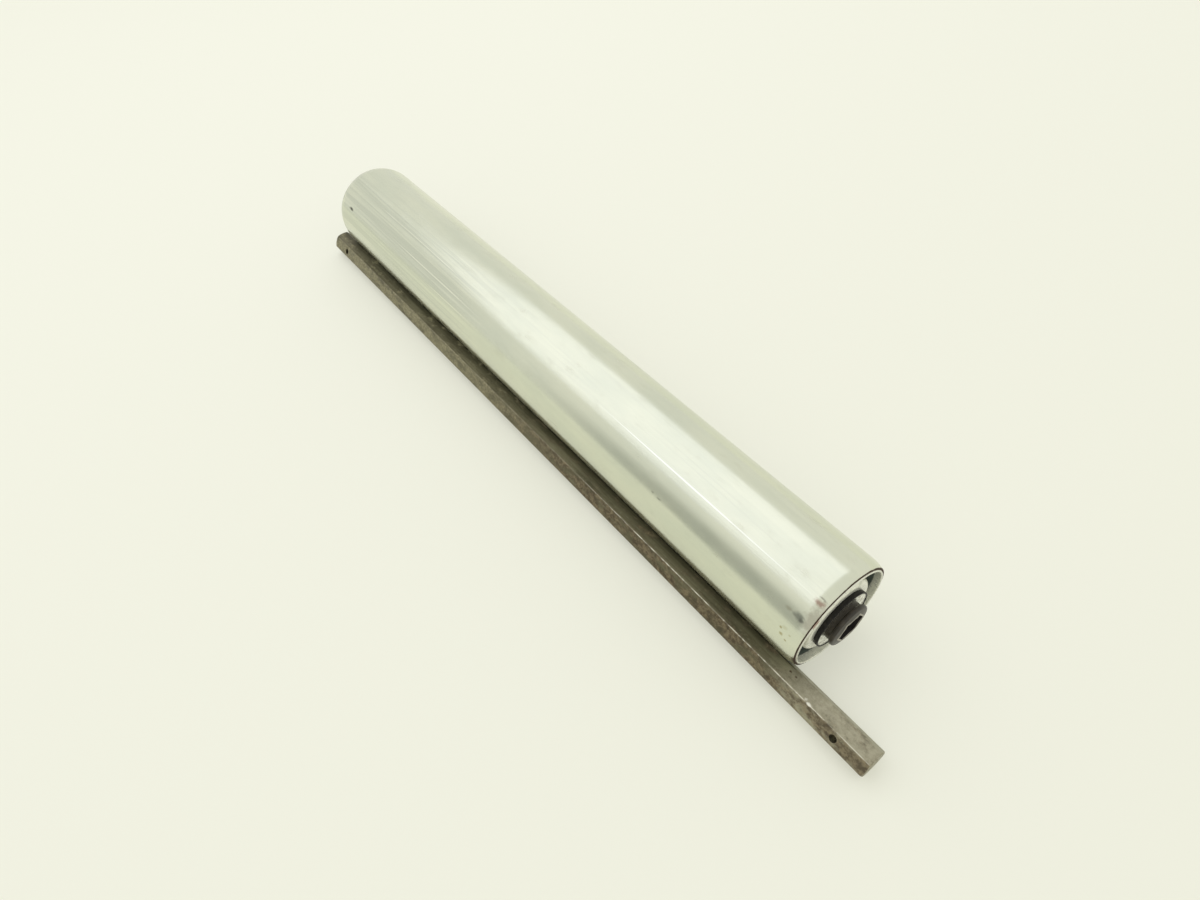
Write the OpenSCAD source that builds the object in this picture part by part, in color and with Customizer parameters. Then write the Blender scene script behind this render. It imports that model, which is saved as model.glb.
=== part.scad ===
// Conveyor roller: a plated steel tube on two pressed-in ball bearings, with its
// hexagon axle drawn out and laid beside it.
// X runs along the roller, Z is up and both pieces lie on the plane Z = 0. The origin is on
// that plane, under the middle of the box that holds the whole part.

/* [Tube] */
// Outside diameter of the roller tube
tube_od = 48.26; // [44:0.01:80]
// Wall thickness of the tube
tube_wall = 1.65; // [1.3:0.05:2.4]
// Length of the tube between its end faces
tube_length = 355.6; // [120:0.1:1500]
// How far the tube's outer corner is rolled in at each end
end_roll = 0.93; // [0.5:0.01:1.1]
// Radius of that rolled corner
end_roll_radius = 13; // [8:0.5:20]

/* [Axle] */
// Size of the hexagon axle across its flats
axle_flats = 11.11; // [9:0.01:14]
// Length of the axle
axle_length = 406.4; // [200:0.1:1600]
// How much of each long edge of the hexagon is worn and drawn round
axle_edge_round = 0.18; // [0.05:0.01:0.4]
// Chamfer at each end of the axle
axle_chamfer = 0.6; // [0.2:0.1:1.5]
// Diameter of the cross holes for the retaining pins
pin_hole_d = 3.2; // [2:0.1:5]
// Distance from each end of the axle to its cross hole
pin_hole_inset = 14.3; // [6:0.1:40]
// How far the loose axle is pushed along the tube
axle_shift = 14.1; // [-40:0.1:40]
// Gap between the loose axle and the tube beside it
axle_gap = 0.6; // [0.2:0.1:5]

/* [Bearing cup] */
// Sheet thickness of the pressed cup
cup_sheet = 0.8; // [0.6:0.1:1.3]
// How far the straight wall of the bearing pocket runs past the back plate
pocket_tail = 0.6; // [0.2:0.1:4]
// How far the cup's rim stands out of the tube's end
rim_stand = 0.4; // [0.3:0.05:1]
// How far the cup's cover lies below the tube's end
cover_drop = 0.6; // [0.2:0.1:3]
// Outer radius of the rounded edge of the cover
cover_round = 2; // [1.6:0.1:3]

/* [Balls and races] */
// Diameter of the balls
ball_d = 4.76; // [4:0.01:5.6]
// Number of balls in each bearing
ball_count = 11; // [7:1:12]
// Steel beside the balls, on each side of both races
race_side = 1.32; // [1.3:0.01:2.5]
// Steel under the ball groove of the inner race
inner_race_wall = 1.3; // [0.8:0.1:2]
// Steel outside the ball groove of the outer race
outer_race_wall = 1.8; // [1:0.1:2.2]
// Height of the race shoulders beside the balls
race_shoulder = 1; // [0.6:0.1:1.4]
// Play of the balls in their grooves
ball_gap = 0.05; // [0.03:0.01:0.08]
// Thickness of the plate that closes the bearing from inside
plate_thickness = 0.8; // [0.5:0.1:1.2]
// Gap between that plate and the inner race
plate_gap = 0.5; // [0.3:0.1:1]

/* [Ball cage] */
// Play of the balls in the cage pockets
pocket_gap = 0.15; // [0.08:0.01:0.3]
// Gap between the cage and both races
cage_gap = 0.4; // [0.25:0.05:0.6]
// Thickness of the cage behind the balls
cage_back = 0.7; // [0.4:0.1:0.8]
// How far the cage reaches past the middle of the balls
cage_hook = 0.9; // [0.5:0.1:1.4]

/* [Hub] */
// Play of the axle in the hexagon bore, over the flats
hex_play = 0.2; // [0.1:0.05:0.6]
// Wall of the hub's shank at the corners of its bore
shank_wall = 1.5; // [1.2:0.1:2.2]
// How much wider the neck is than the shank
neck_step = 0.5; // [0.3:0.1:1]
// Length of the neck outside the washer
neck_length = 1.6; // [1:0.1:8]
// How much wider the nose is than the neck
nose_step = 0.9; // [0.6:0.1:2.5]
// Length of the nose, up to the mouth of the bore
nose_length = 2.6; // [2.4:0.1:6]
// How steeply the nose's face falls away from the bore, in degrees
nose_rake = 12; // [0:1:20]
// Radius of the nose's rounded rims
nose_round = 0.8; // [0.3:0.1:0.8]
// Chamfer of the bore's flats at both its mouths
bore_chamfer = 0.3; // [0.1:0.1:1]
// How far the shank runs past the retaining ring
tail_length = 1.2; // [0.8:0.1:2]

/* [Seal, washer and ring] */
// Thickness of the seal's web over the cover
seal_web = 0.6; // [0.4:0.1:2]
// Gap between the seal and the cover
seal_gap = 0.35; // [0.3:0.05:0.5]
// How far the seal's rim laps over the cover
seal_lap = 0.6; // [0.4:0.1:1.2]
// Height of the seal's rim above the washer
seal_rim = 0.2; // [0.1:0.1:1.8]
// Wall of the seal's rim
rim_wall = 0.5; // [0.4:0.1:1]
// How far the cover reaches in over the outer race
cover_lap = 0.8; // [0.4:0.1:1.2]
// Thickness of the bright washer
washer_thickness = 0.8; // [0.5:0.1:1.5]
// Thickness of the retaining ring
ring_thickness = 1; // [0.6:0.1:1.2]
// Depth of the retaining ring's groove in the shank
ring_groove = 0.55; // [0.3:0.05:0.8]
// How far the retaining ring stands out of the shank
ring_stand = 1.3; // [0.8:0.1:1.8]
// Opening of the retaining ring
ring_opening = 5; // [3:0.1:8]

/* [Hidden] */
$fn = 96;

press_gap = 0.02;  // a press fit is drawn this far short of touching
cut = 1;           // how far a cutting tool runs past what it cuts

// Radii, from the hexagon bore outwards
tube_r = tube_od / 2;
bore_corner_r = (axle_flats + hex_play) / sqrt(3);
bore_mouth_r = (axle_flats + hex_play) / 2 + bore_chamfer;
shank_r = bore_corner_r + shank_wall;
neck_r = shank_r + neck_step;
nose_r = neck_r + nose_step;
inner_groove_r = shank_r + inner_race_wall;
ball_r = ball_d / 2;
groove_r = ball_r + ball_gap;
pitch_r = inner_groove_r + groove_r;
inner_land_r = inner_groove_r + race_shoulder;
outer_groove_r = pitch_r + groove_r;
outer_land_r = outer_groove_r - race_shoulder;
race_r = outer_groove_r + outer_race_wall;
pocket_r = race_r + press_gap;
cover_r = pocket_r + cup_sheet;
cover_hole_r = outer_land_r - cover_lap;
cup_r = tube_r - tube_wall - press_gap;
cup_inner_r = cup_r - cup_sheet;
seal_web_r = cover_hole_r - seal_gap;
seal_rim_r = cover_hole_r + seal_lap;
rim_inner_r = seal_rim_r - rim_wall;
tube_face_r = tube_r - end_roll;

// Heights along the axis, outwards from the tube's end face
race_top = -cover_drop - cup_sheet;
ball_height = race_top - race_side - ball_r;
race_bottom = ball_height - ball_r - race_side;
seal_top = -cover_drop + seal_gap + seal_web;
washer_top = seal_top + washer_thickness;
nose_bottom = washer_top + neck_length;
nose_top = nose_bottom + nose_length;
rim_top = washer_top + seal_rim;
ring_bottom = race_bottom - ring_thickness;
hub_bottom = ring_bottom - tail_length;
plate_bottom = race_bottom - plate_thickness;

// Where the loose axle lies beside the tube: both on one plane, the axle's upper edge nearest
axle_corner_r = axle_flats / sqrt(3);
axle_edge_r = axle_corner_r - axle_edge_round;
tube_side = sqrt(tube_r ^ 2 - (tube_r - axle_flats) ^ 2);
axle_offset = tube_side + axle_corner_r / 2 + axle_gap;

// The middle of the box round both, and from it the places of the two pieces
roller_half = tube_length / 2 + nose_top;
box_right = max(roller_half, axle_shift + axle_length / 2);
box_left = min(-roller_half, axle_shift - axle_length / 2);
tube_x = -(box_right + box_left) / 2;
tube_y = (axle_offset + axle_edge_r - tube_r) / 2;
axle_x = tube_x + axle_shift;
axle_y = tube_y - axle_offset;

// A rectangle of a turned section, between two radii and two heights
module band(r0, r1, s0, s1) {
    translate([r0, s0]) square([r1 - r0, s1 - s0]);
}

// What comes off a turned section's upper corner to round it: an outside corner of the
// section (way 1) or an inside one (way -1)
module upper_corner(corner_r, corner_s, radius, way) {
    translate([corner_r, corner_s]) difference() {
        translate([way > 0 ? -radius : -cut, -radius]) square(radius + cut);
        translate([-way * radius, -radius]) circle(radius);
    }
}

// A hexagonal bar along Z that has flats facing +X and -X
module hex_bar(flats, from, to) {
    translate([0, 0, from]) rotate(30) cylinder(r = flats / sqrt(3), h = to - from, $fn = 6);
}

// Lays a turned piece, drawn upright about Z, along the roller's own axis
module on_roller_axis() {
    translate([tube_x, tube_y, tube_r]) rotate([0, 90, 0]) children();
}

// Puts a bearing's piece, drawn outwards from the tube's end face, at the right-hand end
module at_right_end() {
    on_roller_axis() translate([0, 0, tube_length / 2]) children();
}

// The same piece in mirror image at the left-hand end
module at_left_end() {
    on_roller_axis() mirror([0, 0, 1]) translate([0, 0, tube_length / 2]) children();
}

// The corner of the tube's end, rolled in with one arc that runs out into the outside wall
module rolled_corner() {
    arc_start = sqrt(2 * end_roll * end_roll_radius - end_roll ^ 2);
    difference() {
        band(tube_face_r, tube_r + cut, -arc_start, cut);
        translate([tube_r - end_roll_radius, -arc_start]) circle(end_roll_radius);
    }
}

// Welded and plated steel tube
module roller_tube() {
    color("silver") on_roller_axis() rotate_extrude() difference() {
        band(tube_r - tube_wall, tube_r, -tube_length / 2, tube_length / 2);
        translate([0, tube_length / 2]) rolled_corner();
        mirror([0, 1]) translate([0, tube_length / 2]) rolled_corner();
    }
}

// The outside of the axle as it comes off the drawing die and the chamfering tool
module axle_envelope() {
    half = axle_length / 2;
    end_r = axle_edge_r - axle_chamfer;
    rotate_extrude() polygon([
        [0, -half], [end_r, -half], [axle_edge_r, -half + axle_chamfer],
        [axle_edge_r, half - axle_chamfer], [end_r, half], [0, half],
    ]);
}

// Cold-drawn hexagon bar, cross-drilled through one pair of flats near each end
module axle() {
    color("dimgray") translate([axle_x, axle_y, axle_flats / 2]) difference() {
        rotate([0, 90, 0]) intersection() {
            hex_bar(axle_flats, -axle_length / 2, axle_length / 2);
            axle_envelope();
        }
        for (side = [-1, 1])
            translate([side * (axle_length / 2 - pin_hole_inset), 0, 0])
                rotate([60, 0, 0])
                    cylinder(d = pin_hole_d, h = 2 * axle_flats, center = true);
    }
}

// Pressed cup: a wall in the tube that stands a little out of its end, a deep round-bottomed
// groove, and an inner pocket for the bearing with a cover turned in over its outer face
module cup() {
    groove_width = cup_inner_r - cover_r;
    groove_middle_r = (cup_inner_r + cover_r) / 2;
    groove_turn = plate_bottom - pocket_tail;
    cover_turn = -cover_drop - cover_round;
    rim_round = cup_sheet / 2;
    color("gainsboro") rotate_extrude() difference() {
        union() {
            band(cup_inner_r, cup_r, groove_turn, rim_stand);
            band(pocket_r, cup_r, groove_turn, -cover_drop);
            translate([groove_middle_r, groove_turn]) circle(groove_width / 2 + cup_sheet);
            band(cover_hole_r, cover_r, cover_turn, -cover_drop);
        }
        // Groove between the outer wall and the pocket
        band(cover_r, cup_inner_r, groove_turn, rim_stand + cut);
        translate([groove_middle_r, groove_turn]) circle(groove_width / 2);
        // Inside of the pocket, up to the underside of the cover
        difference() {
            band(cover_hole_r - cut, pocket_r, cover_turn - cut, race_top);
            upper_corner(pocket_r, race_top, cover_round - cup_sheet, 1);
        }
        // Bends and edges
        upper_corner(cup_inner_r, rim_stand, rim_round, -1);
        upper_corner(cup_r, rim_stand, rim_round, 1);
        upper_corner(cover_r, -cover_drop, cover_round, 1);
    }
}

// Outer race, chamfered to clear the inside of the cup's rounded edge
module outer_race() {
    corner = cover_round - cup_sheet;
    color("lightsteelblue") rotate_extrude() difference() {
        polygon([
            [outer_land_r, race_bottom], [race_r - corner, race_bottom],
            [race_r, race_bottom + corner], [race_r, race_top - corner],
            [race_r - corner, race_top], [outer_land_r, race_top],
        ]);
        translate([pitch_r, ball_height]) circle(groove_r);
    }
}

// Inner race, pressed on the hub's shank
module inner_race() {
    color("lightsteelblue") rotate_extrude() difference() {
        band(shank_r + press_gap, inner_land_r, race_bottom, race_top);
        translate([pitch_r, ball_height]) circle(groove_r);
    }
}

// The ring of balls
module balls() {
    color("white") for (i = [0 : ball_count - 1])
        rotate(i * 360 / ball_count) translate([pitch_r, 0, ball_height]) sphere(ball_r);
}

// Snap-in crown cage: a ring behind the balls with a round pocket for each
module ball_cage() {
    color("ivory") difference() {
        rotate_extrude() band(
            inner_land_r + cage_gap, outer_land_r - cage_gap,
            ball_height - ball_r - pocket_gap - cage_back, ball_height + cage_hook
        );
        for (i = [0 : ball_count - 1])
            rotate(i * 360 / ball_count) translate([pitch_r, 0, ball_height])
                sphere(ball_r + pocket_gap);
    }
}

// Section of the hub's nose: a face that falls away from the bore, and two rims, each rounded
// by an arc that runs on from its face into the side
module nose_section() {
    low_round = min(nose_round, nose_step);
    rim_r = nose_r - nose_round;
    rim_s = nose_top - (rim_r - bore_mouth_r) * tan(nose_rake) - nose_round / cos(nose_rake);
    polygon([
        [0, nose_bottom], [nose_r - low_round, nose_bottom],
        [nose_r, nose_bottom + low_round], [nose_r, rim_s],
        [rim_r + nose_round * sin(nose_rake), rim_s + nose_round * cos(nose_rake)],
        [bore_mouth_r, nose_top], [0, nose_top],
    ]);
    translate([nose_r - low_round, nose_bottom + low_round]) circle(low_round);
    translate([rim_r, rim_s]) circle(nose_round);
}

// Turned hub: nose, neck and shank in one piece, with the hexagon bore right through it
module hub() {
    ring_seat_r = shank_r - ring_groove;
    color([0.12, 0.12, 0.13]) difference() {
        rotate_extrude() difference() {
            union() {
                band(0, shank_r, hub_bottom, washer_top);
                band(0, neck_r, washer_top, nose_bottom);
                nose_section();
            }
            band(ring_seat_r, shank_r + cut, ring_bottom, race_bottom);
        }
        hex_bar(axle_flats + hex_play, hub_bottom - cut, nose_top + cut);
        translate([0, 0, nose_top]) countersink();
        translate([0, 0, hub_bottom]) mirror([0, 0, 1]) countersink();
    }
}

// Cutter for the mouth of a hub's bore, at 45 degrees from the middle of each flat outwards
module countersink() {
    translate([0, 0, -bore_chamfer])
        cylinder(r1 = bore_mouth_r - bore_chamfer, r2 = bore_mouth_r + cut, h = bore_chamfer + cut);
}

// Moulded labyrinth seal: a web on the shank and a rim that laps over the cover
module seal() {
    color([0.08, 0.08, 0.08]) rotate_extrude() polygon([
        [shank_r + press_gap, race_top], [seal_web_r, race_top],
        [seal_web_r, -cover_drop + seal_gap], [seal_rim_r, -cover_drop + seal_gap],
        [seal_rim_r, rim_top - rim_wall / 3], [seal_rim_r - rim_wall / 3, rim_top],
        [rim_inner_r, rim_top], [rim_inner_r, seal_top], [shank_r + press_gap, seal_top],
    ]);
}

// Bright steel washer, clamped between the seal and the shoulder of the neck
module washer() {
    color("whitesmoke") rotate_extrude()
        band(shank_r + press_gap, rim_inner_r - press_gap, seal_top, washer_top);
}

// Open retaining ring in the shank's groove, behind the inner race
module retaining_ring() {
    color("gray") difference() {
        rotate_extrude() band(
            shank_r - ring_groove + press_gap, shank_r + ring_stand, ring_bottom, race_bottom
        );
        translate([0, -ring_opening / 2, ring_bottom - cut])
            cube([shank_r + ring_stand + cut, ring_opening, ring_thickness + 2 * cut]);
    }
}

// Flat plate pressed into the pocket, closing the bearing towards the inside of the tube
module back_plate() {
    color("gainsboro") rotate_extrude()
        band(inner_land_r + plate_gap, race_r, plate_bottom, race_bottom);
}

roller_tube();
axle();
at_right_end() cup();  // right_cup
at_right_end() outer_race();  // right_outer_race
at_right_end() balls();  // right_balls
at_right_end() ball_cage();  // right_ball_cage
at_right_end() inner_race();  // right_inner_race
at_right_end() hub();  // right_hub
at_right_end() seal();  // right_seal
at_right_end() washer();  // right_washer
at_right_end() retaining_ring();  // right_retaining_ring
at_right_end() back_plate();  // right_back_plate
at_left_end() cup();  // left_cup
at_left_end() outer_race();  // left_outer_race
at_left_end() balls();  // left_balls
at_left_end() ball_cage();  // left_ball_cage
at_left_end() inner_race();  // left_inner_race
at_left_end() hub();  // left_hub
at_left_end() seal();  // left_seal
at_left_end() washer();  // left_washer
at_left_end() retaining_ring();  // left_retaining_ring
at_left_end() back_plate();  // left_back_plate
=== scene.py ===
# Conveyor roller: a plated steel tube that turns on a ball bearing pressed into each end,
# with its hexagon axle drawn out and laid beside it on a pale surface.
# Everything is in metres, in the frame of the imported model: X runs along the roller.
from math import cos, pi, radians, sin, sqrt, tan

import bpy
import numpy as np
from mathutils import Matrix, Vector


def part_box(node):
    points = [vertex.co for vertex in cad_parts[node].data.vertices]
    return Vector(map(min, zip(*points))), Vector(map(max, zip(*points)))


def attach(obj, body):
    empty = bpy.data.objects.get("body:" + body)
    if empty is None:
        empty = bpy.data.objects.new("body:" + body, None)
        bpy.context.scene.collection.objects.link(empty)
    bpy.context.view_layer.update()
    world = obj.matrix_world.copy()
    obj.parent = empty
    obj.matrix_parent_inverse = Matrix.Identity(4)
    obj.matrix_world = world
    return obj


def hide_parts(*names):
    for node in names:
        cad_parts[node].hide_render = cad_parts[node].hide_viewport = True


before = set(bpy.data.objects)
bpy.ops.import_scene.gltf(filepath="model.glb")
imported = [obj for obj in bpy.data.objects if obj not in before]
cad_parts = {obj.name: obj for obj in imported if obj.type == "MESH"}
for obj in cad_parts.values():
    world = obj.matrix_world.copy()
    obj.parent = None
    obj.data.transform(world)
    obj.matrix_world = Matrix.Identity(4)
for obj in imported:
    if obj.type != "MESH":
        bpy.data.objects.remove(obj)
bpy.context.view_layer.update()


# ---------------------------------------------------------------- Camera
# The view is from above the near end, on the axle's side, looking down along the roller.
camera_place = Vector((0.22088, -0.12371, 0.28554))
camera_aim = Vector((0.02902, -0.00331, 0.0))
camera_roll = radians(-7.986)

camera_data = bpy.data.cameras.new("camera")
camera_data.sensor_width = 36.0
camera_data.lens = 23.06
camera_data.clip_start = 0.01
camera = bpy.data.objects.new("camera", camera_data)
bpy.context.scene.collection.objects.link(camera)
look = (camera_aim - camera_place).to_track_quat("-Z", "Y").to_matrix()
camera.matrix_world = (
    Matrix.Translation(camera_place)
    @ (look @ Matrix.Rotation(camera_roll, 3, "Z")).to_4x4()
)
bpy.context.scene.camera = camera
bpy.context.scene.view_settings.view_transform = "Standard"


# ---------------------------------------------------------------- Lamps and room
# A wide ceiling panel above, the thin bright edge of a second one beyond the axle's side,
# and a pale room that is a little darker low down on that side, where a person stands.
panel_height = 0.8
panel_x = -0.48
panel_length = 1.04
ceiling_y, ceiling_width, ceiling_radiance = 0.13, 1.41, 0.42
edge_y, edge_width, edge_radiance = -0.66, 0.03, 1.1
lamp_tone = (0.95, 0.95, 1.15)
room_tone = (0.90, 0.90, 0.84, 1.0)
shade_tone = (0.50, 0.51, 0.46, 1.0)
shade_azimuth = radians(-105)
shade_elevation = radians(8)
shade_core = radians(8)
shade_edge = radians(27)


def panel_lamp(name, centre, size_x, size_y, radiance):
    """A flat, slightly blue lamp facing down: power is pi times its area times its radiance."""
    lamp = bpy.data.lights.new(name, "AREA")
    lamp.color = lamp_tone
    lamp.shape = "RECTANGLE"
    lamp.size = size_x
    lamp.size_y = size_y
    lamp.energy = pi * size_x * size_y * radiance
    holder = bpy.data.objects.new(name, lamp)
    holder.location = centre
    holder.visible_camera = False
    bpy.context.scene.collection.objects.link(holder)


panel_lamp(
    "ceiling_panel", (panel_x, ceiling_y, panel_height),
    panel_length, ceiling_width, ceiling_radiance,
)
panel_lamp(
    "panel_edge", (panel_x, edge_y, panel_height), panel_length, edge_width, edge_radiance
)


def put(tree, kind, inputs=None, **settings):
    """Adds one shader node. Each input is a plain value or another node's socket."""
    node = tree.nodes.new(kind)
    for name, value in settings.items():
        setattr(node, name, value)
    for key, value in (inputs or {}).items():
        if isinstance(value, bpy.types.NodeSocket):
            tree.links.new(value, node.inputs[key])
        else:
            node.inputs[key].default_value = value
    return node


def ramp(tree, value, low, high, start=0.0, end=1.0):
    """Start below low, end above high, and a smooth S between them."""
    node = put(
        tree, "ShaderNodeMapRange",
        {"Value": value, "From Min": low, "From Max": high, "To Min": start, "To Max": end},
        interpolation_type="SMOOTHSTEP",
    )
    return node.outputs["Result"]


def tint(tree, share, under, over):
    """One colour laid over another by a share from 0 to 1."""
    node = put(tree, "ShaderNodeMix", {"Factor": share, "A": under, "B": over}, data_type="RGBA")
    return node.outputs["Result"]


shade_from = Vector(
    (cos(shade_azimuth), sin(shade_azimuth), tan(shade_elevation))
).normalized()
world = bpy.data.worlds.new("room")
world.use_nodes = True
bpy.context.scene.world = world
tree = world.node_tree
sky = tree.nodes["Background"]
direction = put(tree, "ShaderNodeTexCoord").outputs["Generated"]
toward_shade = put(
    tree, "ShaderNodeVectorMath", {0: direction, 1: shade_from}, operation="DOT_PRODUCT"
).outputs["Value"]
shaded = ramp(tree, toward_shade, cos(shade_edge), cos(shade_core))
tree.links.new(tint(tree, shaded, room_tone, shade_tone), sky.inputs["Color"])


# ---------------------------------------------------------------- Floor
# A plain pale bench top under both pieces. It glows only as the camera and shiny or clear
# pieces see it, so it looks bright and still takes the pieces' shadow.
floor_size = 3.0
floor_tone = (0.49, 0.49, 0.425, 1.0)
floor_glow = (0.375, 0.378, 0.330, 1.0)


def grid_mesh(name, points, faces):
    """A mesh object at the origin from an array of points and an array of faces."""
    mesh = bpy.data.meshes.new(name)
    mesh.from_pydata(points.tolist(), [], faces.tolist())
    mesh.validate()
    mesh.update()
    piece = bpy.data.objects.new(name, mesh)
    bpy.context.scene.collection.objects.link(piece)
    return piece


def calc(tree, operation, a, b=0.0):
    """One step of arithmetic on one or two numbers."""
    return put(tree, "ShaderNodeMath", {0: a, 1: b}, operation=operation).outputs["Value"]


def new_finish(name, **sockets):
    """A material with one Principled shader, whose sockets are set from the names given."""
    material = bpy.data.materials.new(name)
    material.use_nodes = True
    shader = material.node_tree.nodes["Principled BSDF"]
    for key, value in sockets.items():
        shader.inputs[key.replace("_", " ")].default_value = value
    return material, material.node_tree, shader


corners = floor_size / 2 * np.array([(-1, -1, 0), (1, -1, 0), (1, 1, 0), (-1, 1, 0)])
bench = grid_mesh("bench_top", corners, np.array([(0, 1, 2, 3)]))
bench_finish, tree, shader = new_finish(
    "bench_top", Base_Color=floor_tone, Roughness=0.7, Emission_Color=floor_glow
)
rays = put(tree, "ShaderNodeLightPath").outputs
seen = calc(tree, "MAXIMUM", rays["Is Camera Ray"], rays["Is Glossy Ray"])
seen = calc(tree, "MAXIMUM", seen, rays["Is Transmission Ray"])
tree.links.new(seen, shader.inputs["Emission Strength"])
bench.data.materials.append(bench_finish)


# ---------------------------------------------------------------- Roller tube
# Welded steel tube, zinc plated, cut square with its outer corner rolled in at both ends.
# The plating is bright and finely streaked along the tube, with a few stains, a thin
# painted highlight line along the seam and a line of rust round each cut end.
mm = 0.001
tube_low, tube_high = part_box("roller_tube")
tube_radius = (tube_high.z - tube_low.z) / 2
tube_centre = (tube_low + tube_high) / 2
tube_wall = 1.65 * mm
end_roll = 0.93 * mm
end_roll_radius = 13 * mm
turn_steps = 192


def arc(centre_r, centre_h, radius, start, end, steps=8):
    """Points on an arc in a turned section, its angles in degrees from the radius line."""
    turn = np.radians(np.linspace(start, end, steps + 1))
    return np.stack([centre_r + radius * np.cos(turn), centre_h + radius * np.sin(turn)], 1)


def section(*parts):
    """One closed outline from single (radius, height) points and arcs, in order."""
    return np.concatenate([np.atleast_2d(np.array(part, float)) for part in parts])


def carried_round(name, outline, end_x, way, bored=None):
    """A closed outline of (radius, height) points carried round the roller's axis.
    Height runs outwards from end_x, along +X for way 1 and -X for way -1. A point at angle
    t from straight up lies at axis + radius * (sin t, cos t). bored(radius, height, t) may
    move the points of a bore that isn't round."""
    turn = np.arange(turn_steps) * 2 * pi / turn_steps
    radius = np.repeat(outline[:, :1], turn_steps, 1)
    height = np.repeat(outline[:, 1:], turn_steps, 1)
    if bored is not None:
        radius, height = bored(radius, height, turn[None, :])
    points = np.stack([
        end_x + way * height,
        tube_centre.y + radius * np.sin(turn),
        tube_centre.z + radius * np.cos(turn),
    ], -1)
    rows, cols = radius.shape
    corner = np.arange(rows * cols).reshape(rows, cols)
    beyond = np.roll(corner, -1, 0)
    around = np.roll(corner, -1, 1)
    across = np.roll(beyond, -1, 1)
    r, h = outline[:, 0], outline[:, 1]
    area = np.sum(r * np.roll(h, -1) - np.roll(r, -1) * h)
    order = [corner, beyond, across, around]
    if area * way < 0:
        order = [corner, around, across, beyond]
    faces = np.stack(order, -1).reshape(-1, 4)
    piece = grid_mesh(name, points.reshape(-1, 3), faces)
    piece.data.shade_smooth()
    piece.data.set_sharp_from_angle(angle=radians(32))
    return piece


def noise(tree, where, per_metre, detail=3.0, rough=0.55):
    """Noise with so many bumps a metre along X, Y and Z."""
    scaled = put(tree, "ShaderNodeVectorMath", {0: where, 1: per_metre}, operation="MULTIPLY")
    node = put(
        tree, "ShaderNodeTexNoise",
        {"Vector": scaled.outputs["Vector"], "Scale": 1.0, "Detail": detail, "Roughness": rough},
    )
    return node.outputs["Fac"]


def relief(tree, shader, height, depth):
    """Raises the surface by a height from 0 to 1 times a depth in metres."""
    bump = put(tree, "ShaderNodeBump", {"Height": height, "Distance": depth, "Strength": 1.0})
    tree.links.new(bump.outputs["Normal"], shader.inputs["Normal"])


def place_on(tree):
    """The piece's own coordinates, in metres."""
    return put(tree, "ShaderNodeTexCoord").outputs["Object"]


roll_start = sqrt(2 * end_roll * end_roll_radius - end_roll**2)
half_tube = (tube_high.x - tube_low.x) / 2
roll_angle = np.degrees(np.arcsin(roll_start / end_roll_radius))
inner_radius = tube_radius - tube_wall
right_roll = arc(
    tube_radius - end_roll_radius, half_tube - roll_start, end_roll_radius, 0, roll_angle, 12
)
left_roll = right_roll[::-1] * (1, -1)
tube_outline = section(right_roll, (inner_radius, half_tube), (inner_radius, -half_tube), left_roll)
tube = carried_round("tube", tube_outline, tube_centre.x, 1)


def spot(tree, where, place, reach, ragged, low=0.25, high=1.1):
    """A patch of colour: 1 at its place and 0 past its reach along X and across it. The ragged
    pattern moves its edge in or out by up to 0.7 of that reach."""
    away = put(tree, "ShaderNodeVectorMath", {0: where, 1: place}, operation="SUBTRACT").outputs[0]
    share = (1 / reach[0], 1 / reach[1], 1 / reach[1])
    scaled = put(tree, "ShaderNodeVectorMath", {0: away, 1: share}, operation="MULTIPLY").outputs[0]
    far = put(tree, "ShaderNodeVectorMath", {0: scaled}, operation="LENGTH").outputs["Value"]
    torn = calc(tree, "MULTIPLY", calc(tree, "SUBTRACT", ragged, 0.5), 1.4)
    return ramp(tree, calc(tree, "ADD", far, torn), low, high, 1.0, 0.0)


def on_tube(from_end, turn, radius=tube_radius):
    """The point so far in from the right end, at an angle in degrees from straight up
    towards the axle's side."""
    turn = radians(turn)
    return (
        tube_high.x - from_end,
        tube_centre.y - radius * sin(turn),
        tube_centre.z + radius * cos(turn),
    )


def from_middle(tree, where):
    """Distance along X from the middle of the tube, the same towards both ends."""
    along = put(tree, "ShaderNodeSeparateXYZ", {0: where}).outputs["X"]
    return calc(tree, "ABSOLUTE", calc(tree, "SUBTRACT", along, tube_centre.x))


# Pale clouds, with finer streaks along the tube and duller blotches over them
tube_finish, tree, shader = new_finish("tube_plating", Metallic=1.0)
where = place_on(tree)
streaks = noise(tree, where, (10.0, 850.0, 850.0), 3.0, 0.55)
clouds = noise(tree, where, (22.0, 75.0, 75.0), 3.0, 0.55)
blotches = noise(tree, where, (90.0, 210.0, 210.0), 4.0, 0.6)
mottle = noise(tree, where, (420.0, 520.0, 520.0), 4.0, 0.65)
plate_tone = tint(
    tree, ramp(tree, clouds, 0.3, 0.7), (0.645, 0.672, 0.560, 1.0), (0.700, 0.718, 0.590, 1.0)
)
plate_tone = tint(
    tree, ramp(tree, streaks, 0.5, 0.8, 0.0, 0.35), plate_tone, (0.60, 0.62, 0.53, 1.0)
)
plate_tone = tint(
    tree, ramp(tree, blotches, 0.56, 0.8, 0.0, 0.4), plate_tone, (0.57, 0.575, 0.46, 1.0)
)
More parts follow.
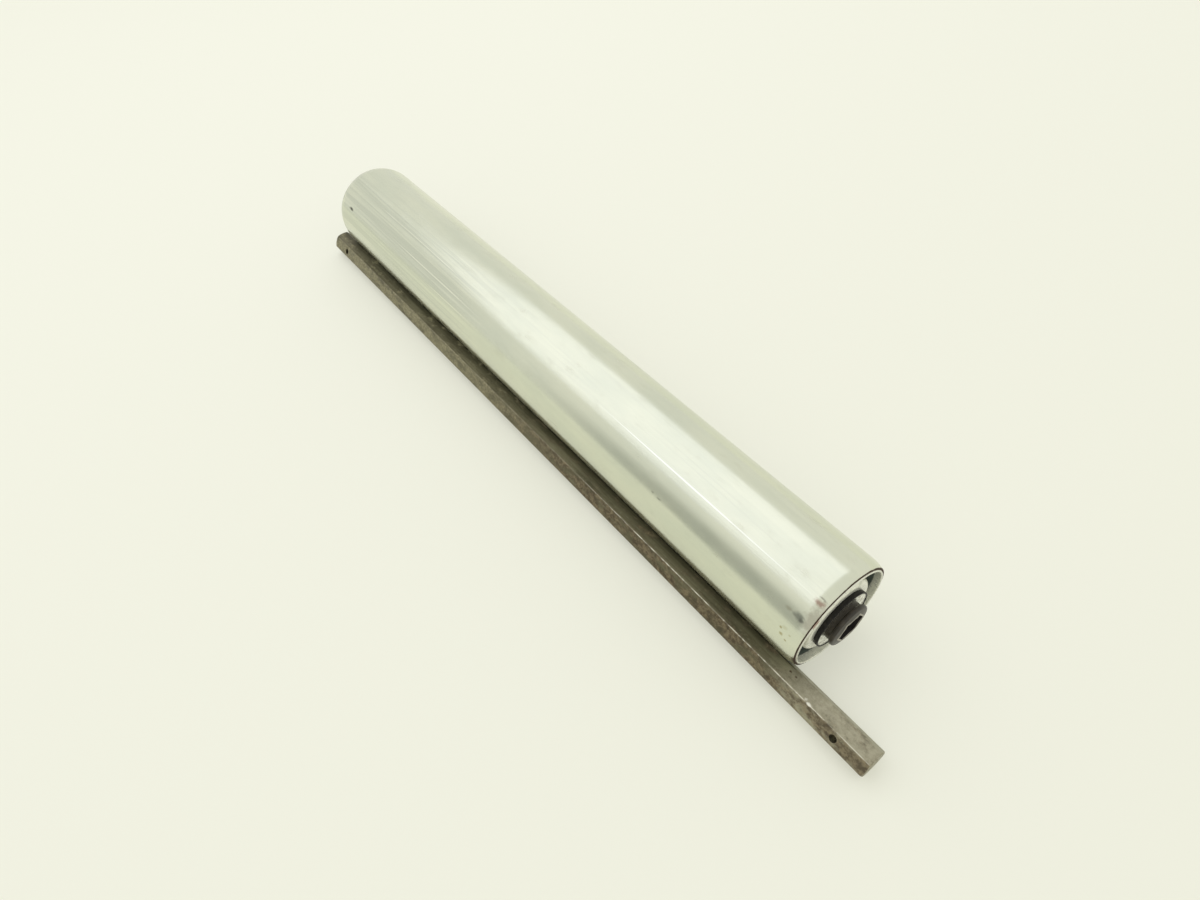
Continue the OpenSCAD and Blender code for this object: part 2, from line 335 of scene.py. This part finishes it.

# The left half is duller on the axle's side, with a few brighter lines along the tube
parts = put(tree, "ShaderNodeSeparateXYZ", {0: where}).outputs
left_axle_side = calc(
    tree, "MULTIPLY",
    ramp(tree, parts["X"], tube_centre.x - 10 * mm, tube_centre.x - 70 * mm),
    ramp(tree, parts["Y"], tube_centre.y + 4 * mm, tube_centre.y - 9 * mm),
)
side_lines = noise(tree, where, (5.0, 430.0, 430.0), 3.0, 0.6)
plate_tone = tint(
    tree, calc(tree, "MULTIPLY", left_axle_side, ramp(tree, side_lines, 0.42, 0.58)),
    plate_tone, (0.585, 0.61, 0.51, 1.0),
)
plate_tone = tint(
    tree, calc(tree, "MULTIPLY", left_axle_side, ramp(tree, side_lines, 0.60, 0.68)),
    plate_tone, (0.80, 0.81, 0.68, 1.0),
)
stains = [
    # from the right end, turn from the top, reach along and across, share, colour
    (2.6, 28, 2.9, 1.5, 0.75, (0.30, 0.17, 0.13, 1.0)),
    (3.2, 23.6, 1.7, 0.5, 0.7, (0.24, 0.23, 0.19, 1.0)),
    (1.6, 24.2, 1.5, 0.45, 0.6, (0.20, 0.18, 0.14, 1.0)),
    (0.6, 43, 4.6, 7.5, 0.5, (0.24, 0.205, 0.155, 1.0)),
    (5.2, 47.5, 2.6, 1.7, 0.65, (0.20, 0.215, 0.185, 1.0)),
    (4.0, 49, 1.2, 0.9, 0.7, (0.20, 0.20, 0.17, 1.0)),
    (7.2, 48.5, 1.4, 0.9, 0.5, (0.28, 0.29, 0.24, 1.0)),
    (9.8, 48, 1.9, 1.0, 0.4, (0.40, 0.36, 0.24, 1.0)),
    (8.6, 67.5, 0.75, 0.7, 0.8, (0.34, 0.30, 0.13, 1.0)),
    (7.6, 73, 1.1, 0.9, 0.7, (0.36, 0.31, 0.14, 1.0)),
    (5.2, 76, 0.8, 0.6, 0.7, (0.34, 0.29, 0.14, 1.0)),
    (4.4, 68, 0.7, 0.5, 0.4, (0.42, 0.38, 0.20, 1.0)),
    (7.4, 65, 1.5, 1.0, 0.35, (0.48, 0.46, 0.28, 1.0)),
    (75, 57, 1.6, 0.5, 0.6, (0.16, 0.16, 0.13, 1.0)),
    (79, 56, 1.0, 0.5, 0.5, (0.20, 0.20, 0.16, 1.0)),
    (0.2, 98, 1.0, 4.0, 0.8, (0.10, 0.07, 0.045, 1.0)),
    (342.5, 54, 2.6, 1.1, 0.95, (0.05, 0.05, 0.035, 1.0)),
]
for from_end, turn, along, across, share, tone in stains:
    mark = spot(tree, where, on_tube(from_end * mm, turn), (along * mm, across * mm), mottle)
    plate_tone = tint(tree, calc(tree, "MULTIPLY", mark, share), plate_tone, tone)

# A painted highlight line runs along the seam near the right end, and each end's last edge is bare
# and rusty
# Painted highlight: a thin brighter line along the seam near the right end
painted_seam_highlight = spot(
    tree, where, on_tube(66 * mm, 27), (80 * mm, 0.5 * mm), calc(tree, "ADD", streaks, 0.12)
)
plate_tone = tint(tree, calc(tree, "MULTIPLY", painted_seam_highlight, 0.8), plate_tone, (0.88, 0.90, 0.84, 1.0))
ragged_end = calc(tree, "ADD", from_middle(tree, where), calc(tree, "MULTIPLY", mottle, 0.4 * mm))
bare = ramp(tree, ragged_end, half_tube - 0.20 * mm, half_tube + 0.02 * mm)
plate_tone = tint(tree, bare, plate_tone, (0.055, 0.029, 0.017, 1.0))
tree.links.new(plate_tone, shader.inputs["Base Color"])
gloss = calc(
    tree, "ADD",
    ramp(tree, streaks, 0.3, 0.7, 0.17, 0.21), ramp(tree, blotches, 0.4, 0.75, 0.0, 0.08),
)
gloss = calc(tree, "ADD", gloss, calc(tree, "MULTIPLY", bare, 0.4))
tree.links.new(gloss, shader.inputs["Roughness"])
rough_skin = calc(tree, "ADD", streaks, calc(tree, "MULTIPLY", mottle, 0.3))
relief(tree, shader, rough_skin, 0.006 * mm)
tube.data.materials.append(tube_finish)
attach(tube, "roller")
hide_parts("roller_tube")


# ---------------------------------------------------------------- Bearing cups
# Pressed from plated sheet: a wall in the tube whose rim stands a little out of its end, a
# deep groove, and a pocket for the bearing with its cover turned in over the outer race.
# Heights here and in the sections below run outwards from the tube's end face.
press_gap = 0.02 * mm
cup_sheet = 0.8 * mm
rim_stand = 0.4 * mm
cover_drop = 0.6 * mm
cover_round = 2 * mm
cover_radius = 16.81 * mm
cover_hole = 12.39 * mm
groove_turn = -10.2 * mm

cup_radius = inner_radius - press_gap
cup_inner = cup_radius - cup_sheet
rim_round = cup_sheet / 2
pocket_radius = cover_radius - cup_sheet
groove_middle = (cup_inner + cover_radius) / 2
groove_round = (cup_inner - cover_radius) / 2
pocket_round = cover_round - cup_sheet
hem = 0.2 * mm
ends = {"right": (tube_high.x, 1), "left": (tube_low.x, -1)}

cup_outline = section(
    arc(cup_radius - rim_round, rim_stand - rim_round, rim_round, 0, 180, 12),
    arc(groove_middle, groove_turn, groove_round, 360, 180, 20),
    arc(cover_radius - cover_round, -cover_drop - cover_round, cover_round, 0, 90, 12),
    arc(cover_hole + hem, -cover_drop - hem, hem, 90, 180, 4),
    arc(cover_hole + hem, -cover_drop - cup_sheet + hem, hem, 180, 270, 4),
    arc(pocket_radius - pocket_round, -cover_drop - cover_round, pocket_round, 90, 0, 8),
    (pocket_radius, groove_turn),
    arc(groove_middle, groove_turn, groove_round + cup_sheet, 180, 360, 20),
)

# Pale plating with duller patches, painted shade darkening the groove with depth below the rim, and
# one brown stain on the rim
cup_finish, tree, shader = new_finish("cup_plating", Metallic=0.3)
where = place_on(tree)
blotches = noise(tree, where, (260.0, 260.0, 260.0), 4.0, 0.6)
patches = noise(tree, where, (520.0, 520.0, 520.0), 3.0, 0.6)
grain = noise(tree, where, (1500.0, 1500.0, 1500.0), 2.0, 0.5)
plate_tone = tint(
    tree, ramp(tree, blotches, 0.4, 0.7), (0.88, 0.88, 0.76, 1.0), (0.76, 0.76, 0.64, 1.0)
)
plate_tone = tint(
    tree, ramp(tree, patches, 0.52, 0.72, 0.0, 0.55), plate_tone, (0.52, 0.54, 0.45, 1.0)
)
# Painted shade: everything more than about 3 mm below the tube's end turns dark teal, as the deep
# groove lies in shade
depth = calc(tree, "SUBTRACT", half_tube, from_middle(tree, where))
depth = calc(tree, "ADD", depth, calc(tree, "MULTIPLY", blotches, 0.6 * mm))
painted_groove_shade = ramp(tree, depth, 2.7 * mm, 3.3 * mm)
plate_tone = tint(tree, calc(tree, "MULTIPLY", painted_groove_shade, 0.9), plate_tone, (0.050, 0.080, 0.068, 1.0))
rim_stain = spot(
    tree, where, on_tube(0.0, 44, cup_radius - rim_round), (1.2 * mm, 3.0 * mm), patches
)
plate_tone = tint(tree, calc(tree, "MULTIPLY", rim_stain, 0.8), plate_tone, (0.30, 0.12, 0.08, 1.0))
tree.links.new(plate_tone, shader.inputs["Base Color"])
gloss = ramp(tree, blotches, 0.3, 0.7, 0.22, 0.34)
gloss = calc(tree, "ADD", gloss, calc(tree, "MULTIPLY", painted_groove_shade, 0.25))
tree.links.new(gloss, shader.inputs["Roughness"])
relief(tree, shader, grain, 0.006 * mm)
for end, (end_x, way) in ends.items():
    cup = carried_round(f"{end}_cup_shell", cup_outline, end_x, way)
    cup.data.materials.append(cup_finish)
    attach(cup, "roller")
    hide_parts(f"{end}_cup")


# ---------------------------------------------------------------- Races and back plates
# Ground steel races, lightly oiled, and the plated plate that closes each bearing from
# inside. They are shut in behind the cup, the seal and the hub.
def dress(nodes, finish):
    """Gives CAD nodes one finish."""
    for name in nodes:
        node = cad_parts[name]
        node.data.materials.clear()
        node.data.materials.append(finish)


race_finish, tree, shader = new_finish("ground_race", Metallic=1.0)
where = place_on(tree)
grinding = noise(tree, where, (6000.0, 500.0, 500.0), 2.0, 0.5)
oil = noise(tree, where, (300.0, 300.0, 300.0), 3.0, 0.5)
tree.links.new(
    tint(tree, ramp(tree, oil, 0.4, 0.7), (0.56, 0.56, 0.55, 1.0), (0.38, 0.35, 0.29, 1.0)),
    shader.inputs["Base Color"],
)
tree.links.new(ramp(tree, oil, 0.3, 0.7, 0.16, 0.32), shader.inputs["Roughness"])
relief(tree, shader, grinding, 0.004 * mm)
dress([f"{end}_{race}" for end in ends for race in ("outer_race", "inner_race")], race_finish)
dress([f"{end}_back_plate" for end in ends], cup_finish)


# ---------------------------------------------------------------- Balls and cages
# Polished steel balls, held apart by a snap-in crown cage moulded in natural nylon.
ball_finish, tree, shader = new_finish("polished_ball", Metallic=1.0)
where = place_on(tree)
film = noise(tree, where, (500.0, 500.0, 500.0), 3.0, 0.5)
tree.links.new(
    tint(tree, ramp(tree, film, 0.45, 0.7), (0.78, 0.78, 0.77, 1.0), (0.62, 0.58, 0.50, 1.0)),
    shader.inputs["Base Color"],
)
tree.links.new(ramp(tree, film, 0.3, 0.7, 0.05, 0.14), shader.inputs["Roughness"])
dress([f"{end}_balls" for end in ends], ball_finish)

cage_finish, tree, shader = new_finish("natural_nylon", Subsurface_Weight=0.1)
where = place_on(tree)
cloud = noise(tree, where, (350.0, 350.0, 350.0), 3.0, 0.5)
skin = noise(tree, where, (3000.0, 3000.0, 3000.0), 2.0, 0.5)
tree.links.new(
    tint(tree, cloud, (0.74, 0.70, 0.58, 1.0), (0.64, 0.59, 0.45, 1.0)), shader.inputs["Base Color"]
)
tree.links.new(ramp(tree, cloud, 0.3, 0.7, 0.38, 0.5), shader.inputs["Roughness"])
relief(tree, shader, skin, 0.005 * mm)
dress([f"{end}_ball_cage" for end in ends], cage_finish)


# ---------------------------------------------------------------- Hubs
# Satin black hub in one piece: a shank through the bearing, a neck, and a nose with
# rounded rims, bored right through with a hexagon for the axle.
axle_low, axle_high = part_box("axle")
axle_flats = axle_high.z - axle_low.z
hex_play = 0.2 * mm
shank_wall = 1.5 * mm
neck_step = 0.5 * mm
nose_step = 0.9 * mm
nose_rake = radians(12)
nose_round = 0.8 * mm
bore_chamfer = 0.3 * mm
ring_groove = 0.55 * mm
race_bottom = -8.8 * mm
ring_bottom = -9.8 * mm
hub_bottom = -11.0 * mm
washer_top = 1.15 * mm
nose_bottom = 2.75 * mm
nose_top = 5.35 * mm

bore_half = (axle_flats + hex_play) / 2
bore_corner = bore_half / cos(pi / 6)
shank_radius = bore_corner + shank_wall
neck_radius = shank_radius + neck_step
nose_radius = neck_radius + nose_step
mouth = bore_half + bore_chamfer
rim_radius = nose_radius - nose_round
rim_height = nose_top - (rim_radius - mouth) * tan(nose_rake) - nose_round / cos(nose_rake)
neck_fillet = 0.35 * mm


def hexagon(half_flats, turn):
    """Distance from the middle to the side of a hexagon with flats facing up and down:
    half its size over the flats, over the cosine of the angle from the nearest flat."""
    return half_flats / np.cos((turn + pi / 6) % (pi / 3) - pi / 6)


def hub_bore(radius, height, turn):
    """The bore is where the section is narrower than the hexagon. It takes the hexagon's
    size there, and in its corners the mouth drops as far as the nose's raked face has."""
    side = hexagon(bore_half, turn)
    face = nose_top - np.maximum(side - mouth, 0) * tan(nose_rake)
    inside = radius < side
    return np.where(inside, side, radius), np.where(inside, np.minimum(height, face), height)


def countersink(height, way, steps=3):
    """A 45 degree mouth, from its full width in the face down into the bore."""
    depth = np.linspace(0, bore_chamfer, steps + 1)
    return np.stack([mouth - depth, height - way * depth], 1)


hub_outline = section(
    countersink(hub_bottom, -1)[::-1],
    (shank_radius, hub_bottom),
    (shank_radius, ring_bottom),
    (shank_radius - ring_groove, ring_bottom),
    (shank_radius - ring_groove, race_bottom),
    (shank_radius, race_bottom),
    (shank_radius, washer_top),
    (neck_radius, washer_top),
    arc(neck_radius + neck_fillet, nose_bottom - neck_fillet, neck_fillet, 180, 90, 5),
    arc(nose_radius - nose_round, nose_bottom + nose_round, nose_round, -90, 0, 10),
    arc(rim_radius, rim_height, nose_round, 0, 90 - np.degrees(nose_rake), 10),
    countersink(nose_top, 1),
)


def off_flats(tree, where, centre):
    """How far a place lies from the middle of a hexagon whose flats face up and down:
    square to those two flats, and square to the nearer slanted one."""
    parts = put(tree, "ShaderNodeSeparateXYZ", {0: where}).outputs
    across = calc(tree, "ABSOLUTE", calc(tree, "SUBTRACT", parts["Y"], centre.y))
    up = calc(tree, "ABSOLUTE", calc(tree, "SUBTRACT", parts["Z"], centre.z))
    slant = calc(
        tree, "ADD",
        calc(tree, "MULTIPLY", across, sin(pi / 3)), calc(tree, "MULTIPLY", up, cos(pi / 3)),
    )
    return up, slant


# Black with greyer wear, a paler ring round the bore's mouth that is both worn edge and painted
# highlight, and painted shade inside the bore
hub_finish, tree, shader = new_finish("hub_black", Specular_IOR_Level=0.5)
where = place_on(tree)
wear = noise(tree, where, (420.0, 420.0, 420.0), 4.0, 0.65)
grain = noise(tree, where, (2600.0, 2600.0, 2600.0), 2.0, 0.5)
hub_tone = tint(
    tree, ramp(tree, wear, 0.45, 0.78), (0.020, 0.015, 0.008, 1.0), (0.058, 0.046, 0.028, 1.0)
)
off = calc(tree, "MAXIMUM", *off_flats(tree, where, tube_centre))
end_face = calc(tree, "SUBTRACT", from_middle(tree, where), half_tube)
ragged = calc(tree, "MULTIPLY", calc(tree, "SUBTRACT", wear, 0.5), 0.3 * mm)
# The paler ring round the mouth is both worn bare edge and painted highlight
mouth_wear_and_highlight = calc(
    tree, "MULTIPLY",
    ramp(tree, calc(tree, "ADD", off, ragged), mouth + 0.2 * mm, mouth + 0.5 * mm, 1.0, 0.0),
    ramp(tree, end_face, nose_top - 0.45 * mm, nose_top - 0.3 * mm),
)
hub_tone = tint(tree, calc(tree, "MULTIPLY", mouth_wear_and_highlight, 0.9), hub_tone, (0.42, 0.39, 0.32, 1.0))
# Painted shade: the inside of the bore is painted almost black
painted_bore_shade = calc(
    tree, "MULTIPLY",
    ramp(tree, off, mouth, mouth + 0.2 * mm, 1.0, 0.0),
    ramp(tree, end_face, nose_top - 0.6 * mm, nose_top - 0.3 * mm, 1.0, 0.0),
)
hub_tone = tint(tree, calc(tree, "MULTIPLY", painted_bore_shade, 0.95), hub_tone, (0.006, 0.003, 0.002, 1.0))
tree.links.new(hub_tone, shader.inputs["Base Color"])
gloss = ramp(tree, wear, 0.3, 0.7, 0.32, 0.46)
gloss = calc(tree, "ADD", gloss, calc(tree, "MULTIPLY", painted_bore_shade, 0.4))
tree.links.new(gloss, shader.inputs["Roughness"])
relief(tree, shader, grain, 0.006 * mm)
for end, (end_x, way) in ends.items():
    hub = carried_round(f"{end}_hub_body", hub_outline, end_x, way, hub_bore)
    hub.data.materials.append(hub_finish)
    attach(hub, f"{end}_hub_set")
    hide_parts(f"{end}_hub")


# ---------------------------------------------------------------- Seals
# Black moulded ring on the shank. Its rim stands up round the washer and laps over the
# cover with a small gap, which keeps dirt out of the balls.
seal_gap = 0.35 * mm
seal_lap = 0.6 * mm
seal_web = 0.6 * mm
seal_rim = 0.2 * mm
rim_wall = 0.5 * mm

seal_web_radius = cover_hole - seal_gap
seal_rim_radius = cover_hole + seal_lap
seal_under = -cover_drop + seal_gap
race_top = -cover_drop - cup_sheet
seal_top = seal_under + seal_web
rim_top = washer_top + seal_rim
rim_inner = seal_rim_radius - rim_wall
rim_edge = rim_wall / 3
rim_foot = 0.15 * mm
rim_lip = 0.1 * mm

seal_outline = section(
    (shank_radius + press_gap, race_top),
    (seal_web_radius, race_top),
    (seal_web_radius, seal_under),
    arc(seal_rim_radius - rim_foot, seal_under + rim_foot, rim_foot, -90, 0, 4),
    arc(seal_rim_radius - rim_edge, rim_top - rim_edge, rim_edge, 0, 90, 6),
    arc(rim_inner + rim_lip, rim_top - rim_lip, rim_lip, 90, 180, 4),
    (rim_inner, seal_top),
    (shank_radius + press_gap, seal_top),
)

seal_finish, tree, shader = new_finish("seal_black", Specular_IOR_Level=0.28)
where = place_on(tree)
dust = noise(tree, where, (500.0, 500.0, 500.0), 4.0, 0.6)
grain = noise(tree, where, (3200.0, 3200.0, 3200.0), 2.0, 0.5)
tree.links.new(
    tint(tree, ramp(tree, dust, 0.5, 0.8), (0.008, 0.007, 0.006, 1.0), (0.034, 0.029, 0.023, 1.0)),
    shader.inputs["Base Color"],
)
tree.links.new(ramp(tree, dust, 0.3, 0.7, 0.4, 0.58), shader.inputs["Roughness"])
relief(tree, shader, grain, 0.008 * mm)
for end, (end_x, way) in ends.items():
    seal = carried_round(f"{end}_seal_ring", seal_outline, end_x, way)
    seal.data.materials.append(seal_finish)
    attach(seal, f"{end}_hub_set")
    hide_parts(f"{end}_seal")


# ---------------------------------------------------------------- Washers
# Bright plated washer between the seal and the shoulder of the hub's neck.
washer_edge = rim_inner - press_gap
washer_corner = 0.15 * mm

washer_outline = section(
    (shank_radius + press_gap, seal_top),
    (washer_edge, seal_top),
    arc(washer_edge - washer_corner, washer_top - washer_corner, washer_corner, 0, 90, 4),
    (shank_radius + press_gap, washer_top),
)

washer_finish, tree, shader = new_finish("washer_plating", Metallic=1.0)
where = place_on(tree)
marks = noise(tree, where, (620.0, 620.0, 620.0), 3.0, 0.6)
tree.links.new(
    tint(tree, ramp(tree, marks, 0.42, 0.66), (0.80, 0.81, 0.74, 1.0), (0.34, 0.31, 0.25, 1.0)),
    shader.inputs["Base Color"],
)
tree.links.new(ramp(tree, marks, 0.3, 0.7, 0.16, 0.34), shader.inputs["Roughness"])
relief(tree, shader, marks, 0.004 * mm)
for end, (end_x, way) in ends.items():
    washer = carried_round(f"{end}_washer_disc", washer_outline, end_x, way)
    washer.data.materials.append(washer_finish)
    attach(washer, f"{end}_hub_set")
    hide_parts(f"{end}_washer")


# ---------------------------------------------------------------- Retaining rings
# Open ring of blackened spring steel, snapped into the shank behind the inner race.
ring_finish, tree, shader = new_finish("blackened_spring_steel", Metallic=1.0)
where = place_on(tree)
scale_marks = noise(tree, where, (900.0, 900.0, 900.0), 3.0, 0.6)
tree.links.new(
    tint(tree, scale_marks, (0.12, 0.12, 0.13, 1.0), (0.25, 0.24, 0.23, 1.0)),
    shader.inputs["Base Color"],
)
tree.links.new(ramp(tree, scale_marks, 0.3, 0.7, 0.3, 0.45), shader.inputs["Roughness"])
dress([f"{end}_retaining_ring" for end in ends], ring_finish)


# ---------------------------------------------------------------- Axle
# Cold-drawn hexagon bar of raw steel, sawn, chamfered and cross-drilled near each end. It
# is dark with mill scale and oil, browned with rust, and rubbed bright along its edges.
axle_centre = (axle_low + axle_high) / 2
half_flats = axle_flats / 2
axle_finish, tree, shader = new_finish("raw_bar")
where = place_on(tree)
parts = put(tree, "ShaderNodeSeparateXYZ", {0: where}).outputs
across = calc(tree, "SUBTRACT", parts["Y"], axle_centre.y)
up = calc(tree, "SUBTRACT", parts["Z"], axle_centre.z)
slant = calc(
    tree, "ADD",
    calc(tree, "MULTIPLY", across, -sin(pi / 3)), calc(tree, "MULTIPLY", up, cos(pi / 3)),
)
outer_flat = ramp(tree, slant, half_flats - 0.35 * mm, half_flats - 0.05 * mm)
off_level, off_slant = off_flats(tree, where, axle_centre)
off_edge = calc(tree, "ABSOLUTE", calc(tree, "SUBTRACT", off_level, off_slant))

draw_lines = noise(tree, where, (16.0, 900.0, 900.0), 4.0, 0.65)
scratches = noise(tree, where, (60.0, 2600.0, 2600.0), 2.0, 0.5)
rust = noise(tree, where, (120.0, 260.0, 260.0), 5.0, 0.65)
speckle = noise(tree, where, (800.0, 1000.0, 1000.0), 4.0, 0.7)
freckle = noise(tree, where, (420.0, 520.0, 520.0), 5.0, 0.75)
scale_cloud = noise(tree, where, (35.0, 160.0, 160.0), 4.0, 0.65)

# Drawn steel, lined along the bar, with clouds of dark scale, pale specks and scratches
bar_tone = tint(
    tree, ramp(tree, draw_lines, 0.3, 0.72), (0.152, 0.138, 0.088, 1.0), (0.262, 0.245, 0.160, 1.0)
)
bar_tone = tint(
    tree, ramp(tree, scale_cloud, 0.42, 0.68, 0.0, 0.65), bar_tone, (0.078, 0.070, 0.044, 1.0)
)
bar_tone = tint(
    tree, ramp(tree, speckle, 0.5, 0.75, 0.0, 0.5), bar_tone, (0.32, 0.30, 0.205, 1.0)
)
bar_tone = tint(
    tree, ramp(tree, scratches, 0.66, 0.78, 0.0, 0.45), bar_tone, (0.42, 0.41, 0.34, 1.0)
)

# Painted shadow beside the tube, where it shades the bar, and painted light with paler bare patches
# at the right end, which sticks out past the tube
painted_tube_shadow = calc(
    tree, "MULTIPLY",
    ramp(tree, across, -1.5 * mm, 2.5 * mm, 0.25, 0.8),
    ramp(tree, parts["X"], 148 * mm, 166 * mm, 1.0, 0.0),
)
bar_tone = tint(tree, painted_tube_shadow, bar_tone, (0.052, 0.048, 0.030, 1.0))
# Painted light and bare patches: the right end, out of the tube's shade, is painted paler in
# mottled patches
painted_light_and_bare_end = calc(
    tree, "MULTIPLY",
    ramp(tree, parts["X"], 152 * mm, 172 * mm), ramp(tree, freckle, 0.3, 0.65, 0.5, 0.95),
)
bar_tone = tint(tree, painted_light_and_bare_end, bar_tone, (0.41, 0.385, 0.285, 1.0))

# Brown rust, thickest on the slanted flat away from the tube, paler and duller to the left
rusty = ramp(tree, calc(tree, "ADD", rust, calc(tree, "MULTIPLY", outer_flat, 0.16)), 0.50, 0.72)
rust_tone = tint(
    tree, ramp(tree, freckle, 0.38, 0.64), (0.068, 0.046, 0.022, 1.0), (0.245, 0.195, 0.112, 1.0)
)
dull_tone = tint(
    tree, ramp(tree, speckle, 0.38, 0.66), (0.20, 0.18, 0.10, 1.0), (0.37, 0.34, 0.21, 1.0)
)
rust_tone = tint(tree, ramp(tree, parts["X"], -60 * mm, 40 * mm), dull_tone, rust_tone)
bar_tone = tint(tree, calc(tree, "MULTIPLY", rusty, 0.85), bar_tone, rust_tone)

# The upper edges are rubbed bright, in broken lines, most of all on the open side
edge_break = noise(tree, where, (260.0, 500.0, 500.0), 4.0, 0.7)
rubbed = calc(
    tree, "MULTIPLY",
    calc(
        tree, "MULTIPLY",
        ramp(tree, off_edge, 0.10 * mm, 0.26 * mm, 1.0, 0.0),
        ramp(tree, up, half_flats - 0.5 * mm, half_flats - 0.3 * mm),
    ),
    calc(
        tree, "MULTIPLY",
        ramp(tree, edge_break, 0.42, 0.60, 0.15, 1.0),
        calc(
            tree, "MULTIPLY",
            ramp(tree, parts["X"], 30 * mm, 90 * mm, 0.1, 1.0),
            ramp(tree, across, -1 * mm, 1 * mm, 1.0, 0.25),
        ),
    ),
)
bar_tone = tint(tree, rubbed, bar_tone, (0.62, 0.60, 0.49, 1.0))

# Nicks and rust spots on top, near the right end
marks = [
    # place along and across the bar, reach along and across, share, colour
    (176.0, -3.0, 1.4, 0.8, 0.9, (0.86, 0.84, 0.74, 1.0)),
    (174.2, -2.4, 0.8, 0.7, 0.7, (0.75, 0.73, 0.62, 1.0)),
    (163.6, 1.0, 0.8, 0.6, 0.85, (0.055, 0.025, 0.015, 1.0)),
    (166.4, 0.9, 0.7, 0.5, 0.8, (0.060, 0.028, 0.018, 1.0)),
]
for along, aside, reach, wide, share, tone in marks:
    place = (along * mm, axle_centre.y + aside * mm, axle_high.z)
    mark = spot(tree, where, place, (reach * mm, wide * mm), speckle)
    bar_tone = tint(tree, calc(tree, "MULTIPLY", mark, share), bar_tone, tone)
tree.links.new(bar_tone, shader.inputs["Base Color"])
tree.links.new(
    calc(tree, "SUBTRACT", 1.0, calc(tree, "MULTIPLY", rusty, 0.6)), shader.inputs["Metallic"]
)
gloss = ramp(tree, rust, 0.35, 0.7, 0.42, 0.62)
gloss = calc(tree, "SUBTRACT", gloss, calc(tree, "MULTIPLY", rubbed, 0.1))
tree.links.new(gloss, shader.inputs["Roughness"])
skin = calc(tree, "ADD", draw_lines, calc(tree, "MULTIPLY", speckle, calc(tree, "ADD", rusty, 0.4)))
relief(tree, shader, skin, 0.02 * mm)
dress(["axle"], axle_finish)
